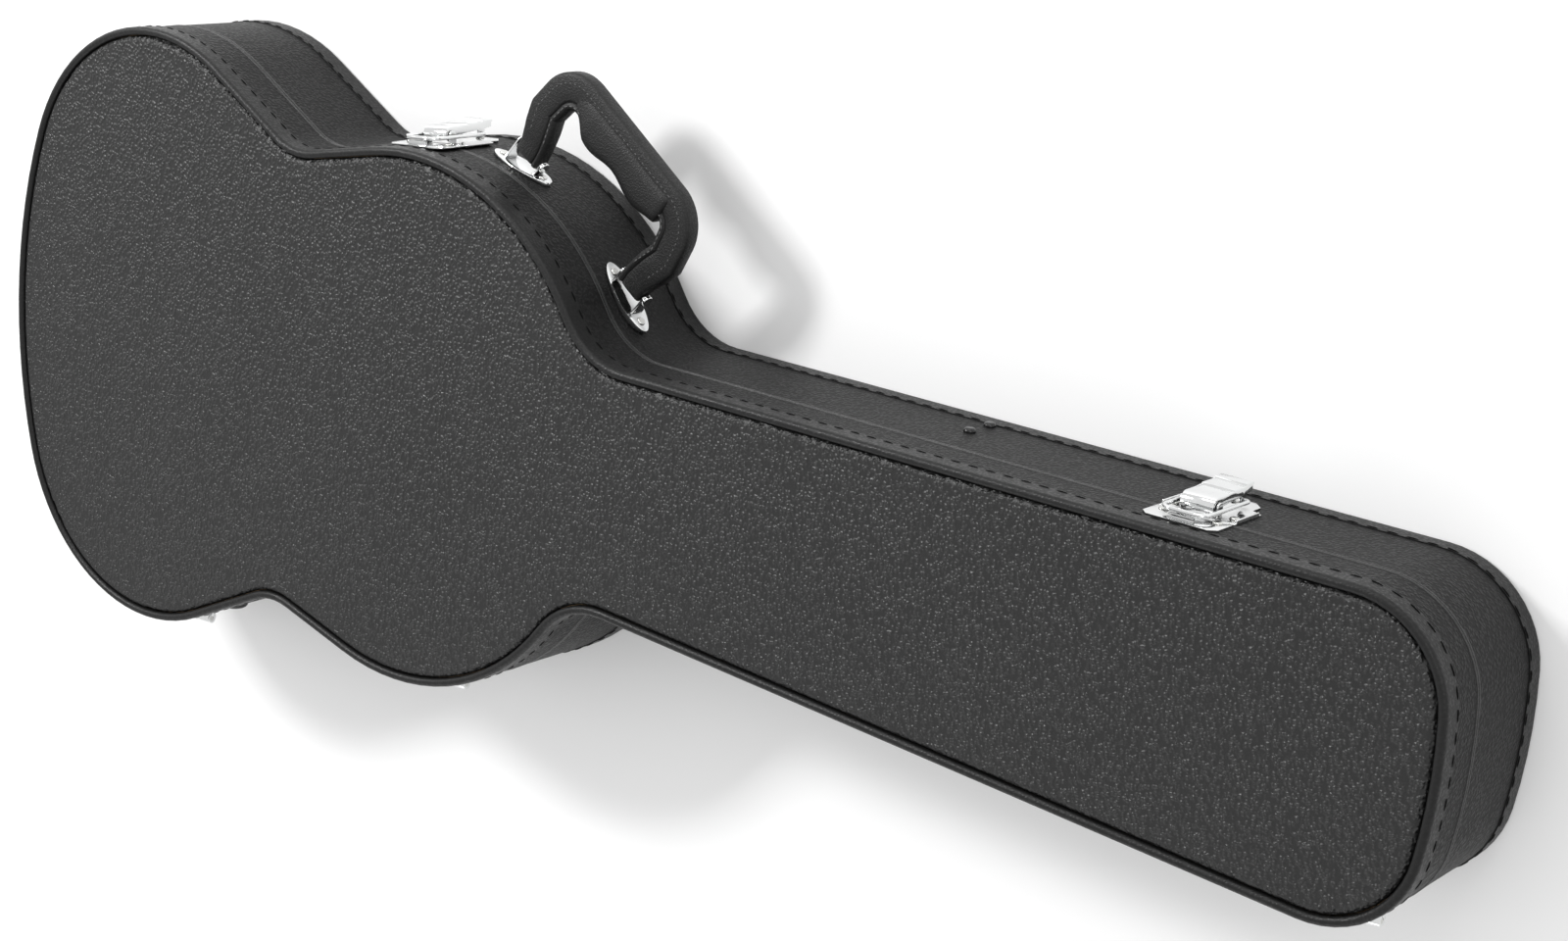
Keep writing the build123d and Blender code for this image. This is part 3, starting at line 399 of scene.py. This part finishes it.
def swept(name, line, section, closed=False, growth=None):
    """Mesh of a flat section carried level along a line of points, in its own size by default."""
    shape = bpy.data.curves.new(name, "CURVE")
    shape.dimensions = "3D"
    shape.twist_mode = "Z_UP"
    path = shape.splines.new("POLY")
    path.points.add(len(line) - 1)
    for point, place, size in zip(path.points, line, growth or [1.0] * len(line)):
        point.co = (*place, 1.0)
        point.radius = size
    path.use_cyclic_u = closed
    profile = bpy.data.curves.new(f"{name}_section", "CURVE")
    profile.dimensions = "2D"
    outline = profile.splines.new("POLY")
    outline.points.add(len(section) - 1)
    for point, place in zip(outline.points, section):
        point.co = (place[0] * MM, place[1] * MM, 0.0, 1.0)
    outline.use_cyclic_u = True
    profile_piece = bpy.data.objects.new(f"{name}_section", profile)
    shape.bevel_mode = "OBJECT"
    shape.bevel_object = profile_piece
    shape.use_fill_caps = True
    piece = bpy.data.objects.new(name, shape)
    bpy.context.scene.collection.objects.link(profile_piece)
    bpy.context.scene.collection.objects.link(piece)
    bpy.context.view_layer.update()
    made = bpy.data.meshes.new_from_object(piece.evaluated_get(bpy.context.evaluated_depsgraph_get()))
    bpy.data.objects.remove(piece)
    bpy.data.objects.remove(profile_piece)
    mesh = bmesh.new()
    mesh.from_mesh(made)
    bmesh.ops.remove_doubles(mesh, verts=mesh.verts, dist=0.01 * MM)
    bmesh.ops.recalc_face_normals(mesh, faces=mesh.faces)
    for face in mesh.faces:
        face.smooth = True
    return mesh


def turned_edge(node, body, middle):
    """A half of the parting's fold: a flat oval laid half into the wall's surface."""
    angles = [2 * pi * step / fold_sides for step in range(fold_sides)]
    oval = [(fold_proud * cos(angle), fold_tall / 2 * sin(angle)) for angle in angles]
    fold = swept(f"{body}_fold", wall_line(node, middle), oval, closed=True)
    show(f"{body}_turned_edge", fold, fold_cloth_lit, body)


turned_edge("lid_wall_cover", "lid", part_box("lid_wall_cover")[0].z + fold_tall / 2 * MM)
turned_edge("base_wall_cover", "base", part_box("base_wall_cover")[1].z - fold_tall / 2 * MM)


# Hardware finishes: pressed steel plated with bright chrome, chromed wire, nickel plated
# rivets, and black glossy or dull plastic. Pressed edges are softly broken, so that they glint.
def plated(name, colour, roughness, waviness):
    """Polished metal with slight waves from pressing, faint wear and painted shade in its corners."""
    finish, tree, surface = new_finish(name)
    place = add_node(tree, "ShaderNodeTexCoord").outputs["Object"]
    waves = add_node(tree, "ShaderNodeTexNoise", {"Vector": place, "Scale": 110.0, "Detail": 2.0})
    relief = add_node(
        tree, "ShaderNodeBump", {"Height": waves.outputs["Fac"], "Distance": waviness, "Strength": 0.6}
    )
    join_socket(tree, relief.outputs["Normal"], surface, "Normal")
    wear = add_node(tree, "ShaderNodeTexNoise", {"Vector": place, "Scale": 700.0, "Detail": 4.0})
    gloss = add_node(
        tree, "ShaderNodeMapRange",
        {"Value": wear.outputs["Fac"], "From Min": 0.35, "From Max": 0.75, "To Min": roughness,
         "To Max": roughness + 0.12},
    )
    join_socket(tree, gloss.outputs["Result"], surface, "Roughness")
    # Painted shade: an ambient occlusion mask darkens the colour to near black in corners, crevices and round
    # the rivets.
    corners = add_node(tree, "ShaderNodeAmbientOcclusion", {"Distance": 5.0 * MM}, samples=6)
    tone = add_node(tree, "ShaderNodeValToRGB", {"Fac": corners.outputs["AO"]})
    tone.color_ramp.elements[0].position = 0.25
    tone.color_ramp.elements[0].color = linear("#101112")
    tone.color_ramp.elements[1].position = 0.8
    tone.color_ramp.elements[1].color = linear(colour)
    join_socket(tree, tone.outputs["Color"], surface, "Base Color")
    surface.inputs["Metallic"].default_value = 1.0
    return finish


chrome = plated("bright_chrome_plate_on_steel", "#eceded", 0.05, 0.03 * MM)
rivet_steel = plated("nickel_plated_rivet_steel", "#d9d9d6", 0.14, 0.05 * MM)
wire_steel = plated("chromed_spring_wire", "#e6e7e7", 0.08, 0.03 * MM)


def plastic(name, colour, roughness, grain, depth):
    """Moulded black plastic with a fine spark-eroded grain."""
    finish, tree, surface = new_finish(name)
    place = add_node(tree, "ShaderNodeTexCoord").outputs["Object"]
    speckle = add_node(tree, "ShaderNodeTexNoise", {"Vector": place, "Scale": 1 / grain, "Detail": 3.0})
    relief = add_node(tree, "ShaderNodeBump", {"Height": speckle.outputs["Fac"], "Distance": depth})
    join_socket(tree, relief.outputs["Normal"], surface, "Normal")
    gloss = add_node(tree, "ShaderNodeMapRange", {
        "Value": speckle.outputs["Fac"], "To Min": roughness, "To Max": roughness + 0.15,
    })
    join_socket(tree, gloss.outputs["Result"], surface, "Roughness")
    surface.inputs["Base Color"].default_value = linear(colour)
    return finish


gloss_black = plastic("black_nylon_polished", "#0b0b0b", 0.12, 1.5 * MM, 0.03 * MM)
foot_plastic = plastic("black_polypropylene_grained", "#161616", 0.42, 0.6 * MM, 0.08 * MM)


corner_angle = 28
shading_angle = 35


def broken_edges(node, finish, edge):
    """Finished copy of a CAD piece: joined corners and softly broken edges."""
    source = frame["nodes"][node]
    mesh = bmesh.new()
    mesh.from_mesh(source.data)
    bmesh.ops.remove_doubles(mesh, verts=mesh.verts, dist=0.004 * MM)
    bmesh.ops.dissolve_limit(mesh, angle_limit=radians(0.8), verts=mesh.verts, edges=mesh.edges)
    corners = [
        line for line in mesh.edges
        if len(line.link_faces) == 2 and line.calc_face_angle() > radians(corner_angle)
        and line.calc_length() > edge
    ]
    bmesh.ops.bevel(
        mesh, geom=corners, offset=edge, offset_type="OFFSET", affect="EDGES", segments=2, profile=0.5,
        material=-1, clamp_overlap=True,
    )
    bmesh.ops.triangulate(mesh, faces=[face for face in mesh.faces if len(face.verts) > 4])
    for face in mesh.faces:
        face.smooth = True
    piece = show(f"{node}_finished", mesh, finish, source["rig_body"])
    piece.data.set_sharp_from_angle(angle=radians(shading_angle))
    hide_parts(node)
    return piece


# Hinges: pressed leaves screwed to both walls, with rolled barrels on one steel pin. All
# three stand on the line that touches the three bulges of the case's far side.
broken_edges("hinge_base_leaves", chrome, 0.25 * MM)
broken_edges("hinge_lid_leaves", chrome, 0.25 * MM)
cover(["hinge_pins", "hinge_base_screws", "hinge_lid_screws"], rivet_steel)


# Feet and studs: moulded feet on the far side let the case stand on it, and two small
# glossy studs are pressed into the near wall beside the neck.
cover(["side_feet"], foot_plastic)
cover(["side_studs"], gloss_black)


# Draw latches: a strike plate with a lip on the lid, a flanged plate on the base, and a
# stepped lever with its wire bail. All are pressed and plated, and held by domed rivets.
for spot in ("body", "neck"):
    broken_edges(f"latch_strike_{spot}", chrome, 0.25 * MM)
    broken_edges(f"latch_plate_{spot}", chrome, 0.25 * MM)
    broken_edges(f"latch_lever_{spot}", chrome, 0.22 * MM)
    cover([f"latch_pin_{spot}"], rivet_steel)
    cover([f"latch_bail_{spot}"], wire_steel)
cover(["latch_strike_rivets", "latch_plate_rivets"], rivet_steel)


# Handle fittings: two long oval plates, each with a pair of ears, are riveted to the
# base's wall; a pin with a rolled ring passes through the ears and the strap's end.
broken_edges("handle_plate_tail", chrome, 0.3 * MM)
broken_edges("handle_plate_neck", chrome, 0.3 * MM)
broken_edges("handle_pins", chrome, 0.4 * MM)
cover(["handle_plate_rivets"], rivet_steel)
cover(["handle_core"], wire_steel)


# Handle: leathercloth folded over board into a flat arch, with a cord piped along its outer
# edge and a fine stitch row along both edges. The top bar has a spring steel strip inside.
handle_joint = [joint for joint in frame["joints"] if joint["name"] == "handle_hinge"][0]
handle_across = Vector(handle_joint["axis"]).normalized()
handle_out = Vector((handle_across.y, -handle_across.x, 0))
core_low, core_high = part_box("handle_core")
handle_middle = (core_low + core_high) / 2
strap_top = 67.0


def on_handle(across, out, up=0.0):
    """Point of the handle: across along its two pins, out of the wall, and up, in mm."""
    return handle_middle + handle_across * across * MM + handle_out * (out * MM - strap_top * MM) + Vector(
        (0, 0, up * MM)
    )


def arc_points(centre, radius, first, last, count):
    """Points of an arc, in the handle's own across and out."""
    angles = [radians(first + (last - first) * step / count) for step in range(count + 1)]
    return [(centre[0] + radius * cos(angle), centre[1] + radius * sin(angle)) for angle in angles]


pin_half_pitch = 52.0
strap_foot = 9.0
strap_bend = 18.0
strap_shoulder = (59.0, 40.0)
strap_corner = 17.0
strap_corner_inset = 2


def strap_line(shift=0.0):
    """Middle line of the arch from pin to pin; shift moves it towards the outer edge."""
    half = pin_half_pitch + shift
    shoulder = strap_shoulder[0] + shift
    radius = strap_corner + shift
    corner = (strap_shoulder[0] - strap_corner_inset - strap_corner, strap_top - strap_corner)
    right = [(half, strap_foot), (half, strap_bend), (shoulder, strap_shoulder[1])]
    for _ in range(3):
        pairs = list(zip(right, right[1:]))
        cut = [((3 * a[0] + b[0]) / 4, (3 * a[1] + b[1]) / 4) for a, b in pairs]
        kept = [((a[0] + 3 * b[0]) / 4, (a[1] + 3 * b[1]) / 4) for a, b in pairs]
        right = [right[0]] + [point for pair in zip(cut, kept) for point in pair] + [right[-1]]
    right += arc_points(corner, radius, 10, 90, 12)
    return right + [(-x, y) for x, y in reversed(right)]


def strap_section():
    """One edge rolled over a cord with a groove beside it, a crowned middle, one plain edge."""
    face = [
        (-10.9, 3.6), (-10.2, 4.8), (-8.8, 5.3), (-4.0, 5.5), (1.0, 5.5), (4.6, 5.2), (5.6, 4.9),
        (6.1, 4.2), (6.6, 4.8), (7.4, 5.4), (8.6, 5.5), (9.8, 4.9), (10.7, 3.8), (11.1, 2.2),
    ]
    return face + [(x, -y) for x, y in reversed(face)]


handle_cloth = leathercloth(
    "leathercloth_handle_smooth", 1.1 * MM, 0.12 * MM, "#121212", "#070707", 0.42, 0.6, 0.4
)
strap_places = strap_line()
foot_size = 0.9
strap_sizes = [min(1.0, foot_size + 0.1 * max(0.0, y - strap_bend) / 12.0) for x, y in strap_places]
strap_points = [on_handle(x, y) for x, y in strap_places]
strap = show(
    "handle_strap_sewn", swept("strap", strap_points, strap_section(), growth=strap_sizes), handle_cloth,
    "handle",
)
strap.data.set_sharp_from_angle(angle=radians(50))
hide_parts("handle_strap")

fine_thread, tree, surface = new_finish("grey_polyester_fine_thread")
place = add_node(tree, "ShaderNodeTexCoord").outputs["Object"]
twist = add_node(tree, "ShaderNodeTexNoise", {"Vector": place, "Scale": 1 / (0.5 * MM)})
tone = add_node(tree, "ShaderNodeValToRGB", {"Fac": twist.outputs["Fac"]})
tone.color_ramp.elements[0].color = linear("#3c3c3c")
tone.color_ramp.elements[1].color = linear("#707070")
join_socket(tree, tone.outputs["Color"], surface, "Base Color")
surface.inputs["Roughness"].default_value = 0.6

fine_stitch = stitch(2.5 * MM, 0.8 * MM, 0.8 * MM)
strap_stitches = bmesh.new()
fine_pitch = 3.6 * MM
row_start = strap_bend + 6
for row_shift, row_height in ((-8.3, 5.35), (4.7, 5.2)):
    for face_side in (-1, 1):
        line = [
            on_handle(x, y, face_side * row_height) for x, y in strap_line(row_shift) if y > row_start
        ]
        row = sewn(
            evenly(line, fine_pitch, closed=False), fine_stitch,
            lambda point, along: Vector((0, 0, face_side)),
        )
        data = bpy.data.meshes.new("row")
        row.to_mesh(data)
        strap_stitches.from_mesh(data)
show("handle_strap_stitches", strap_stitches, fine_thread, "handle")


# Grip: a foam pad under leathercloth, wrapped round the top bar from below and closed by a
# seam beside the outer cord. Its underside swells twice for the fingers.
def eased(share):
    """Smooth rise from 0 to 1."""
    share = max(0.0, min(1.0, share))
    return share * share * (3 - 2 * share)


grip_half_length = 42.0
grip_flush = 56.2
grip_seam = 72.1
grip_depth = 6.0
grip_swell = 2.0
grip_swells = 2
grip_half_thickness = 5.45
grip_extra_thickness = 1.45
grip_long_taper = 16.0
grip_short_taper = 3.5
grip_blunt_start = 0.25
grip_roundness = 0.6
grip_rings = 40
grip_ring_sides = 32


def grip_pad():
    """Sleeve round the bar: rings along the bar, deepest at its two swells."""
    mesh = bmesh.new()
    rings = []
    for step in range(grip_rings + 1):
        x = grip_half_length * (2 * step / grip_rings - 1)
        full = min(
            eased((grip_half_length - x) / grip_long_taper),
            eased((x + grip_half_length) / grip_short_taper + grip_blunt_start),
        )
        swell = grip_swell * (1 - cos(2 * pi * (step / grip_rings) * grip_swells))
        low = grip_flush - (grip_depth + swell) * full
        depth = grip_half_thickness + grip_extra_thickness * full
        ring = bmesh.ops.create_circle(mesh, cap_ends=False, radius=1.0, segments=grip_ring_sides)["verts"]
        for point in ring:
            wide = abs(point.co.x) ** grip_roundness * (1 if point.co.x > 0 else -1)
            tall = abs(point.co.y) ** grip_roundness * (1 if point.co.y > 0 else -1)
            across = (low + grip_seam) / 2 + wide * (grip_seam - low) / 2
            point.co = on_handle(x, across, tall * depth)
        rings.append(ring)
    for first, second in zip(rings, rings[1:]):
        pair = set(first) | set(second)
        own = [edge for edge in mesh.edges if edge.verts[0] in pair and edge.verts[1] in pair]
        loops = [
            edge for edge in own if (set(edge.verts) <= set(first) or set(edge.verts) <= set(second))
        ]
        bmesh.ops.bridge_loops(mesh, edges=loops)
    for ring in (rings[0], rings[-1]):
        bmesh.ops.contextual_create(mesh, geom=ring)
    bmesh.ops.recalc_face_normals(mesh, faces=mesh.faces)
    for face in mesh.faces:
        face.smooth = True
    return mesh


grip = show("handle_grip_padded", grip_pad(), handle_cloth, "handle")
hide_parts("handle_grip")


# Interior: the foam bed, the neck's cradle and the strips beside the box are cut from
# foam and covered with short black plush, glued down and rolled over every edge.
plush, tree, surface = new_finish("short_pile_plush")
place = add_node(tree, "ShaderNodeTexCoord").outputs["Object"]
pile = add_node(tree, "ShaderNodeTexNoise", {"Vector": place, "Scale": 1 / (0.8 * MM), "Detail": 2.0})
nap = add_node(tree, "ShaderNodeTexNoise", {"Vector": place, "Scale": 14.0, "Detail": 4.0, "Distortion": 0.6})
mixed = add_node(
    tree, "ShaderNodeMix",
    {"Factor": 0.55, "A": pile.outputs["Fac"], "B": nap.outputs["Fac"]}, data_type="FLOAT",
)
tone = add_node(tree, "ShaderNodeValToRGB", {"Fac": mixed.outputs["Result"]})
tone.color_ramp.elements[0].position = 0.3
tone.color_ramp.elements[0].color = linear("#131314")
tone.color_ramp.elements[1].position = 0.75
tone.color_ramp.elements[1].color = linear("#3a3a3d")
join_socket(tree, tone.outputs["Color"], surface, "Base Color")
relief = add_node(
    tree, "ShaderNodeBump", {"Height": pile.outputs["Fac"], "Distance": 0.5 * MM, "Strength": 0.8}
)
join_socket(tree, relief.outputs["Normal"], surface, "Normal")
surface.inputs["Roughness"].default_value = 0.95
surface.inputs["Sheen Weight"].default_value = 0.35
surface.inputs["Sheen Roughness"].default_value = 0.4
surface.inputs["Specular IOR Level"].default_value = 0.2

foam, tree, surface = new_finish("grey_polyurethane_foam")
place = add_node(tree, "ShaderNodeTexCoord").outputs["Object"]
cells = add_node(tree, "ShaderNodeTexVoronoi", {"Vector": place, "Scale": 1 / (1.2 * MM)})
tone = add_node(tree, "ShaderNodeValToRGB", {"Fac": cells.outputs["Distance"]})
tone.color_ramp.elements[0].color = linear("#3b3b3d")
tone.color_ramp.elements[1].color = linear("#59595c")
join_socket(tree, tone.outputs["Color"], surface, "Base Color")
relief = add_node(tree, "ShaderNodeBump", {"Height": cells.outputs["Distance"], "Distance": 0.4 * MM})
join_socket(tree, relief.outputs["Normal"], surface, "Normal")
surface.inputs["Roughness"].default_value = 0.95


def padding(name, nodes, voxel, rounds, finish, body, lowest=0.0):
    """Soft form of CAD padding: joined, remeshed and rounded where the cloth rolls over."""
    joined = bmesh.new()
    for node in nodes:
        joined.from_mesh(frame["nodes"][node].data)
    bmesh.ops.remove_doubles(joined, verts=joined.verts, dist=0.01 * MM)
    if lowest:
        cut = bmesh.ops.bisect_plane(
            joined, geom=joined.verts[:] + joined.edges[:] + joined.faces[:], plane_co=(0, 0, lowest),
            plane_no=(0, 0, 1), clear_inner=True,
        )
        rim = [edge for edge in cut["geom_cut"] if isinstance(edge, bmesh.types.BMEdge)]
        bmesh.ops.triangle_fill(joined, edges=rim, use_beauty=True)
    piece = show(name, joined, finish, body)
    for kind, settings in (
        ("REMESH", {"mode": "VOXEL", "voxel_size": voxel, "use_smooth_shade": True}),
        ("SMOOTH", {"factor": 0.5, "iterations": rounds}),
    ):
        modifier = piece.modifiers.new(kind.lower(), kind)
        for field, value in settings.items():
            setattr(modifier, field, value)
    bpy.context.view_layer.update()
    made = bpy.data.meshes.new_from_object(piece.evaluated_get(bpy.context.evaluated_depsgraph_get()))
    piece.modifiers.clear()
    piece.data = made
    if not made.materials:
        made.materials.append(finish)
    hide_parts(*nodes)
    return piece


padding("floor_foam", ["floor_padding"], 4 * MM, 2, foam, "base")
padding("body_bed_plush", ["body_padding", "body_lining"], 3.5 * MM, 5, plush, "base")
padding("head_bed_plush", ["head_padding", "head_lining"], 3 * MM, 5, plush, "base")
padding("neck_cradle_plush", ["neck_cradle"], 2.5 * MM, 7, plush, "base")
padding("neck_side_plush", ["neck_side_padding"], 3 * MM, 5, plush, "base")
padding("neck_end_plush", ["neck_end_padding"], 3 * MM, 5, plush, "base")
pad_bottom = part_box("lid_padding")[0].z
skirt_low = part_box("lid_lining")[0].z
skirt_line = wall_line("lid_lining", (skirt_low + pad_bottom) / 2)
lid_pad = padding(
    "lid_pad_plush", ["lid_padding", "lid_lining"], 3.5 * MM, 4, plush, "lid",
    lowest=pad_bottom - 1.2 * MM,
)
skirt_half_thickness = 0.75
skirt_chamfer_across = 0.3
skirt_chamfer_up = 0.6


def join_skirt(pad, line, tall):
    """Add the lining's skirt, which hangs from the pad round the lid's wall, to the pad's mesh."""
    half = tall / 2 / MM
    side = skirt_half_thickness
    profile = [
        (-side, -half), (side - skirt_chamfer_across, -half), (side, skirt_chamfer_up - half), (side, half),
        (-side, half),
    ]
    skirt = swept("lid_skirt", line[::2], profile, closed=True)
    skirt.from_mesh(pad.data)
    skirt.to_mesh(pad.data)
    skirt.free()


join_skirt(lid_pad, skirt_line, pad_bottom - skirt_low)


# Accessory box: a small plywood tray covered in the same plush, under a board lid on wire
# hinges, lifted by a strip of satin ribbon.
cover(["accessory_box", "accessory_lid"], plush)
cover(["base_valance"], plush)
cover(["accessory_hinge_pins"], rivet_steel)

ribbon, tree, surface = new_finish("woven_satin_ribbon")
place = add_node(tree, "ShaderNodeTexCoord").outputs["Object"]
warp = add_node(
    tree, "ShaderNodeTexWave", {"Vector": place, "Scale": 1 / (2 * pi * 0.5 * MM)}, bands_direction="X"
)
relief = add_node(tree, "ShaderNodeBump", {"Height": warp.outputs["Fac"], "Distance": 0.1 * MM})
join_socket(tree, relief.outputs["Normal"], surface, "Normal")
surface.inputs["Base Color"].default_value = linear("#1d1d20")
surface.inputs["Roughness"].default_value = 0.35
surface.inputs["Anisotropic"].default_value = 0.5


ribbon_waves = 3
ribbon_taper = 0.1


def ribbon_strip(low, high, thickness):
    """Ribbon laid on the box's lid from one edge, in low waves, with its free end tapered."""
    strip = bmesh.new()
    bmesh.ops.create_grid(strip, x_segments=10, y_segments=24, size=0.5)
    width = high.x - low.x
    length = high.y - low.y
    for point in strip.verts:
        across = point.co.x
        along = point.co.y + 0.5
        narrowed = 1 - 0.5 * max(0.0, along - (1 - ribbon_taper)) / ribbon_taper
        crown = 0.5 * (1 - (2 * across) ** 2) + 0.5 * sin(ribbon_waves * pi * along) ** 2
        point.co = (
            (low.x + high.x) / 2 + across * width * narrowed, low.y + along * length,
            low.z + thickness + crown * (high.z - low.z - thickness),
        )
    bmesh.ops.solidify(strip, geom=strip.faces[:], thickness=thickness)
    bmesh.ops.recalc_face_normals(strip, faces=strip.faces)
    for face in strip.faces:
        face.smooth = True
    return strip


tab_low, tab_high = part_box("accessory_pull_tab")
tab = show(
    "accessory_ribbon_tab", ribbon_strip(tab_low, tab_high, 0.4 * MM), ribbon, "accessory_lid"
)
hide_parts("accessory_pull_tab")
